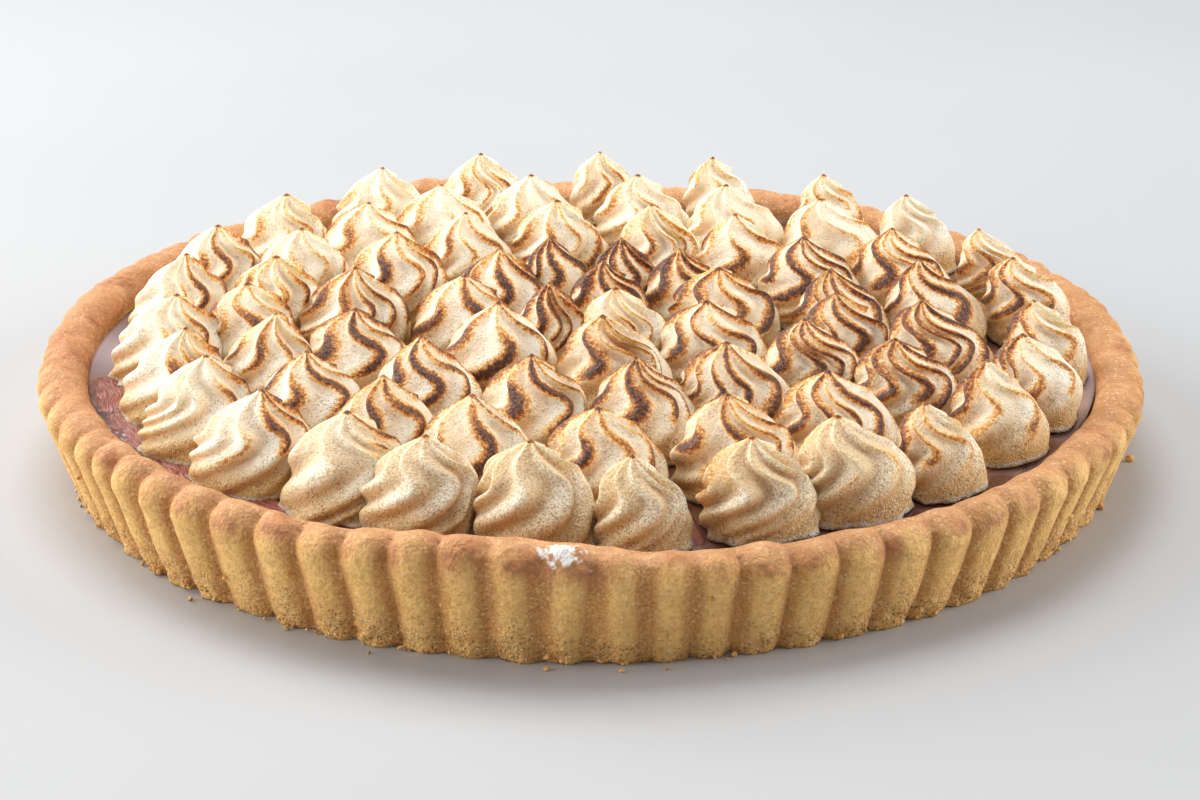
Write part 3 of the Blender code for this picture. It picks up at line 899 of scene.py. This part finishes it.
# %% Bake the case
def shape_case():
    """The section carried round the pie, with flutes, waves, wobbles and a crumbly foot added."""
    columns = FLUTES * SAMPLES_PER_FLUTE
    angle = np.broadcast_to(np.arange(columns) * 2 * math.pi / columns, (len(section), columns))
    base_radius, height, share, turn = (section[:, i, None] for i in range(4))
    circle = polar(1.0, angle)
    lobe, wave, size, heads, stands = press_flutes(angle, circle, height[..., None] * [0, 0, 1.0])
    on_roll = smoothstep(0.0, 25.0, turn) * (turn < 180)
    flute_share = share * (1 - on_roll * (1 - heads))
    radius = base_radius + flute_share * FLUTE_DEPTH * stands * size * (lobe - 1)
    bulge = hump(height - HEAD_HEIGHT, 3.0 * MM) * (base_radius > 141 * MM)
    radius = radius + HEAD_BULGE * bulge * (lobe - 0.4) * heads * stands
    edge = hump(turn - 70.0, 40.0) * (turn > 0)
    lift = rim_height(angle) * np.clip(height / WALL_HEIGHT, 0, 1)
    lift = lift + SCALLOP * edge * (lobe - 0.75) * heads * stands * size
    points = polar(radius, angle, height + lift)
    outer = np.clip(share * 30, 0, 1) * (base_radius > 0.97 * BASE_RADIUS)
    rim = smoothstep(5.0, 45.0, turn) * (turn < 180)
    low = (1 - smoothstep(0.0, 14 * MM, height + swell(points, 7, 11, 5))) * outer
    wrinkles = lattice_noise(np.stack([angle * RIM_RADIUS / (3.6 * MM), turn / 70.0 + 0 * angle,
                                       0 * angle], axis=-1), 1.0, 6)
    wobble = (swell(points, 22, 5, 0.70) * np.maximum(outer, rim)
              + 0.20 * MM * wrinkles * rim * (1.35 - heads)
              + swell(points, 8, 16, 0.50) * (0.4 * outer + 0.6 * rim))
    grain = 0.09 * MM * layered_noise(points, 2.2 * MM, 7) * np.maximum(outer, rim)
    crumbly = 0.75 * MM * layered_noise(points, 2.2 * MM, 9) * low ** 2
    points[..., :2] += (wobble + grain + crumbly)[..., None] * circle[..., :2]
    points[..., 2] += rim * (swell(points, 10, 8, 0.60)
                             + 0.15 * MM * wrinkles * (1.35 - heads)
                             + swell(points, 5, 17, 0.55) + grain)
    points[..., 2] = np.where(height == 0.0, 0.0, np.maximum(points[..., 2], 0.0))
    head_top = hump(height - 25.0 * MM, 2.2 * MM) * (base_radius > 140.5 * MM)
    brown = brown_places(points, angle, lobe, rim, height, base_radius, head_top)
    flour = near(angle, *FLOUR[:2]) * hump(base_radius - FLOUR[2], FLOUR[3]) * (turn > 20)
    points[..., 2] += 0.5 * MM * flour * (1 + layered_noise(points, 1.6 * MM, 18))
    # lobe: where the finish paints highlight in the middles of the lobes and shade in the creases
    masks = {"rim": rim * (1 - 0.7 * head_top), "low": low, "brown": brown,
             "lobe": (0.4 * lobe + 0.6 * wave) * np.clip(share, 0.3, 1),
             "flour": np.clip(flour, 0, 1)}
    return points, {name: np.append(np.broadcast_to(mask, angle.shape), [0, 0])
                    for name, mask in masks.items()}


def bake_case():
    """The case as one piece, closed in the middle of its floor and of its base."""
    points, masks = shape_case()
    piece = add_piece("shortcrust_case", *close_grid(points, [0, 0, FLOOR_THICKNESS], [0, 0, 0]),
                      shortcrust, masks=masks)
    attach(piece, "root")
    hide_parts("crust")
    return piece


case = bake_case()
print("faces in the case:", len(case.data.polygons))

# %% [markdown]
# ## Crumbs
#
# Crumbs cling to the torn lower edge, lie at its foot, and stick to the lobes. Each is a small
# ball of a few rows, pulled out of shape by noise; all of them are joined in one piece.

# %% Crumbs
CRUMB_COUNT = 260
CRUMB_SIZE = (0.35 * MM, 1.1 * MM)
CRUMB_ROWS, CRUMB_COLUMNS = 6, 10
AT_THE_FOOT, ON_THE_FLOOR = 0.72, 0.80      # crumbs up to these shares; the rest are on lobes


def scatter_crumbs(seed=8):
    """Noisy balls on the foot of the wall, on the floor beside it, and on the lobes."""
    random = np.random.default_rng(seed)
    around, up = np.meshgrid(np.arange(CRUMB_COLUMNS) * 2 * math.pi / CRUMB_COLUMNS,
                             np.linspace(-0.85, 0.85, CRUMB_ROWS))
    ball, ball_quads, ball_triangles = close_grid(polar(np.sqrt(1 - up ** 2), around, up),
                                                  [0, 0, 1.0], [0, 0, -1.0])
    points = []
    for crumb in range(CRUMB_COUNT):
        size = CRUMB_SIZE[0] + (CRUMB_SIZE[1] - CRUMB_SIZE[0]) * random.random() ** 2.5
        bearing = random.random() * 2 * math.pi
        kind = random.random()
        if kind < AT_THE_FOOT:
            height, reach = size * 0.6 + random.random() ** 2 * 3 * MM, 0.0
        elif kind < ON_THE_FLOOR:
            height, reach = size * 0.7, (0.8 + 5 * random.random() ** 2) * MM
        else:
            height, reach = (3 + 19 * random.random()) * MM, 0.0
        wall = BASE_RADIUS + (WALL_TOP_RADIUS - BASE_RADIUS) * height / ROLL_CENTRE[1]
        fine = lattice_noise(ball * 0.8 + crumb, 1.0, crumb)
        shape = ball * (1 + 0.35 * fine)[:, None] * random.uniform(0.6, 1.2, 3)
        points.append(shape * size + polar(wall + reach - 0.2 * MM, bearing, height))
    points = np.vstack(points)
    points[:, 2] = np.maximum(points[:, 2], 0.02 * MM)
    shifts = np.arange(CRUMB_COUNT)[:, None, None] * len(ball)
    # lobe at 1 gives the crumbs the pale gold of the lobes' painted highlight
    masks = {"low": np.full(len(points), 0.7), "lobe": np.ones(len(points))}
    piece = add_piece("crumbs", points, (ball_quads + shifts).reshape(-1, 4),
                      (ball_triangles + shifts).reshape(-1, 3), shortcrust, masks=masks)
    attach(piece, "root")
    return piece


crumbs = scatter_crumbs()
print("faces in the crumbs:", len(crumbs.data.polygons))

# %% [markdown]
# ## The filling
#
# Pieces of rhubarb lie in a jelly that set level and shiny. Where the kisses leave it bare, at
# the rim, the jelly mirrors the room, with a painted reflection in a few pale patches, and the
# stewed pieces stand a little proud. Each piece is a rounded baton; the surface at any point is
# the highest of the jelly and the batons there.

# %% Batons of rhubarb
BATON_COUNT = 210
BATON_SIZE = (27.0 * MM, 9.5 * MM, 1.0 * MM)    # length, width, how far it stands out
RIM_BATONS = (-166, -154, -141, -126, -118, -110, 24, 96, 150)  # bearings along the rim
RIM_BATON_REACH = 125.5 * MM
OTHER_BATON_REACH = 112 * MM
REFLECTION_PLACES = ((178, 8), (-3, 15), (-84, 4))   # bearing and width in degrees of the pale patches of painted reflection


def lay_batons(points, seed=5):
    """Height of rhubarb above the jelly, how much it is rhubarb, and its fibre coordinate.

    A baton is a rounded bar: its height is the square root of what is left of 1 after a sixth
    power along it and a square across it.
    """
    random = np.random.default_rng(seed)
    reach = 126 * MM * np.sqrt(random.random(BATON_COUNT))
    bearing = random.random(BATON_COUNT) * 2 * math.pi
    lie = random.random(BATON_COUNT) * math.pi
    proud = random.uniform(-0.6, 1.0, BATON_COUNT)
    wavy = 1.8 * MM * layered_noise(points, 9 * MM, 31)
    visible = len(RIM_BATONS)
    bearing[:visible] = np.radians(RIM_BATONS)
    reach[:visible] = RIM_BATON_REACH
    reach[visible:] = np.minimum(reach[visible:], OTHER_BATON_REACH)
    lie[:visible] = bearing[:visible] + math.pi / 2
    proud[:visible] = 1.0
    height = np.zeros(points.shape[:-1])
    across_fibres = np.zeros(points.shape[:-1])
    for r, b, a, p in zip(reach, bearing, lie, proud):
        away = points[..., :2] - r * np.array([math.cos(b), math.sin(b)])
        along = away @ np.array([math.cos(a), math.sin(a)])
        side = away @ np.array([-math.sin(a), math.cos(a)]) + wavy
        inside = 1 - (along / (BATON_SIZE[0] / 2)) ** 6 - (side / (BATON_SIZE[1] / 2)) ** 2
        top = BATON_SIZE[2] * p * np.sqrt(np.clip(inside, 0, 1))
        higher = top > height
        height = np.where(higher, top, height)
        across_fibres = np.where(higher, side, across_fibres)
    return height, smoothstep(0.05 * MM, 0.5 * MM, height), across_fibres


# %% Filling finish
def make_filling_finish():
    """Dark plum jelly with a wet shine and pale patches of painted reflection, over pink-red
    stewed stalks with pale fibres.

    The fibres are noise drawn out along a baton: it hardly changes with the place, and quickly
    with the fibre coordinate, which runs across the baton.
    """
    material, n, shader = new_material("rhubarb_in_jelly", 1.45, 0.1, 0.003, (1.0, 0.3, 0.25))
    stalk, fibre, reflection, shaded = map(n.mask, ("stalk", "fibre", "reflection", "shaded"))
    place = n.add("ShaderNodeTexCoord").outputs["Object"]
    side = n.add("ShaderNodeCombineXYZ", {0: fibre}).outputs[0]
    drawn_out = n.add("ShaderNodeVectorMath", {0: place, 1: (0.15, 0.15, 0.0), 2: side},
                      operation="MULTIPLY_ADD").outputs[0]
    lines = n.add("ShaderNodeTexNoise", {
        "Vector": drawn_out, "Scale": 1500.0, "Detail": 3.0}).outputs["Fac"]
    blotch = n.patches(120.0, 0.35, 0.65)
    flesh = n.layer(n.blend(n.remap(lines, 0.35, 0.62), (112, 48, 40), (186, 112, 94)),
                    (n.times(blotch, 0.4), (128, 70, 50)))
    # Painted reflection of the room in pale patches, and painted shade under the kisses.
    colour = n.layer(n.blend(blotch, (92, 58, 50), (132, 96, 84)),
                     (reflection, (184, 164, 166)), (stalk, flesh), (shaded, (104, 64, 44)))
    n.connect(shader, {
        "Base Color": colour, "Normal": n.bump(n.times(lines, stalk), 0.0009),
        "Roughness": n.remap(stalk, 0.0, 1.0, 0.10, 0.30),
        "Coat Weight": 0.5, "Coat Roughness": 0.06})
    return material


rhubarb = make_filling_finish()
print("finish:", rhubarb.name)


# %% Set the filling
FILLING_EDGE = 131.9 * MM
FILLING_ROWS, FILLING_COLUMNS = 96, 720
JELLY_DROP = 0.35 * MM              # level of the jelly below the top of its solid
CLIMB, CLIMB_REACH = 0.7 * MM, 1.6 * MM     # of the jelly at the wall


def set_filling():
    """A disc on a polar grid: level jelly that climbs a little at the wall, with batons."""
    low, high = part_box("filling")
    share = np.linspace(0.01, 1.0, FILLING_ROWS) ** 0.75
    angle, reach = np.meshgrid(np.arange(FILLING_COLUMNS) * 2 * math.pi / FILLING_COLUMNS,
                               share * FILLING_EDGE)
    top = polar(reach, angle)
    stalks, stalk, side = lay_batons(top)
    climb = CLIMB * np.exp((reach - FILLING_EDGE) / CLIMB_REACH)
    fibres = 0.16 * MM * lattice_noise(np.stack([side, side * 0, side * 0], -1), 0.8 * MM, 22)
    top[..., 2] = (high[2] - JELLY_DROP + swell(top, 30, 21, 0.25) + stalks + climb
                   + fibres * stalk)
    bottom = top[-1:].copy()
    bottom[..., :2] *= (INNER_RADIUS_FLOOR - 2 * GAP) / FILLING_EDGE
    bottom[..., 2] = low[2]
    # Painted reflection: pale patches where the bare jelly would mirror the room.
    reflection = sum(near(angle, *place) for place in REFLECTION_PLACES)
    shaded = 0.85 * (1 - smoothstep(108 * MM, 118 * MM, reach))
    masks = {"stalk": stalk, "fibre": side, "reflection": reflection, "shaded": shaded}
    masks = {name: np.concatenate([np.zeros(FILLING_COLUMNS), mask[::-1].ravel(), [0, 0]])
             for name, mask in masks.items()}
    grid = close_grid(np.concatenate([bottom, top[::-1]]), [0, 0, top[0, :, 2].mean()],
                      [0, 0, low[2]])
    piece = add_piece("rhubarb_filling", *grid, rhubarb, masks=masks)
    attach(piece, "root")
    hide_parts("filling")
    return piece


filling = set_filling()
print("faces in the filling:", len(filling.data.polygons))

# %% [markdown]
# ## Floor and light
#
# The pie was photographed in soft daylight. A broad light above and behind makes its back bright,
# one from the back left whitens the left side, and a wide, weaker one on either side keeps the
# front in soft shade. A dim, slightly blue surround does the rest.

# %% Floor
FLOOR_REACH = 3.0                   # metres from the middle to an edge


def lay_floor():
    """A plain pale floor, part of the stage and not of the pie."""
    material, n, shader = new_material("pale_floor")
    cloud = n.patches(3.0, 0.3, 0.7)
    n.connect(shader, {"Base Color": n.blend(cloud, (178, 180, 182), (183, 184, 185)),
                       "Roughness": 0.6})
    points = FLOOR_REACH * np.array([[-1, -1, 0], [1, -1, 0], [1, 1, 0], [-1, 1, 0]])
    floor = add_piece("floor", points, np.array([[0, 1, 2, 3]]), np.empty((0, 3), int), material)


lay_floor()
print("floor:", 2 * FLOOR_REACH, "m wide")


# %% Lights
# name, place, side of the square in metres, power in watts, colour
LIGHTS = (("ceiling", (-0.15, 0.45, 1.3), 0.9, 15.5, (1.0, 0.99, 0.97)),
          ("back_left", (-1.1, 0.75, 0.65), 0.8, 16.0, (1.0, 1.0, 1.0)),
          ("left_wall", (-1.3, -0.35, 0.50), 0.8, 11.5, (1.0, 1.0, 1.0)),
          ("right_wall", (1.3, 0.10, 0.52), 0.8, 13.0, (1.0, 1.0, 1.0)))
LIGHT_AIM = Vector((0.0, 0.0, 0.02))
SURROUND_COLOUR, SURROUND_STRENGTH = (0.95, 0.96, 1.0, 1.0), 0.33


def light_the_room():
    """Square lights that face the pie, a dim surround, and plain screen colours."""
    for name, place, size, power, colour in LIGHTS:
        data = bpy.data.lights.new(name, "AREA")
        data.size, data.energy, data.color = size, power, colour
        light = bpy.data.objects.new(name, data)
        light.location = place
        light.rotation_euler = (LIGHT_AIM - Vector(place)).to_track_quat("-Z", "Y").to_euler()
        bpy.context.scene.collection.objects.link(light)
    world = bpy.data.worlds.new("room")
    world.use_nodes = True
    background = world.node_tree.nodes["Background"]
    background.inputs["Color"].default_value = SURROUND_COLOUR
    background.inputs["Strength"].default_value = SURROUND_STRENGTH
    bpy.context.scene.world = world
    bpy.context.scene.view_settings.view_transform = "Standard"


light_the_room()
print("lights:", len(LIGHTS))
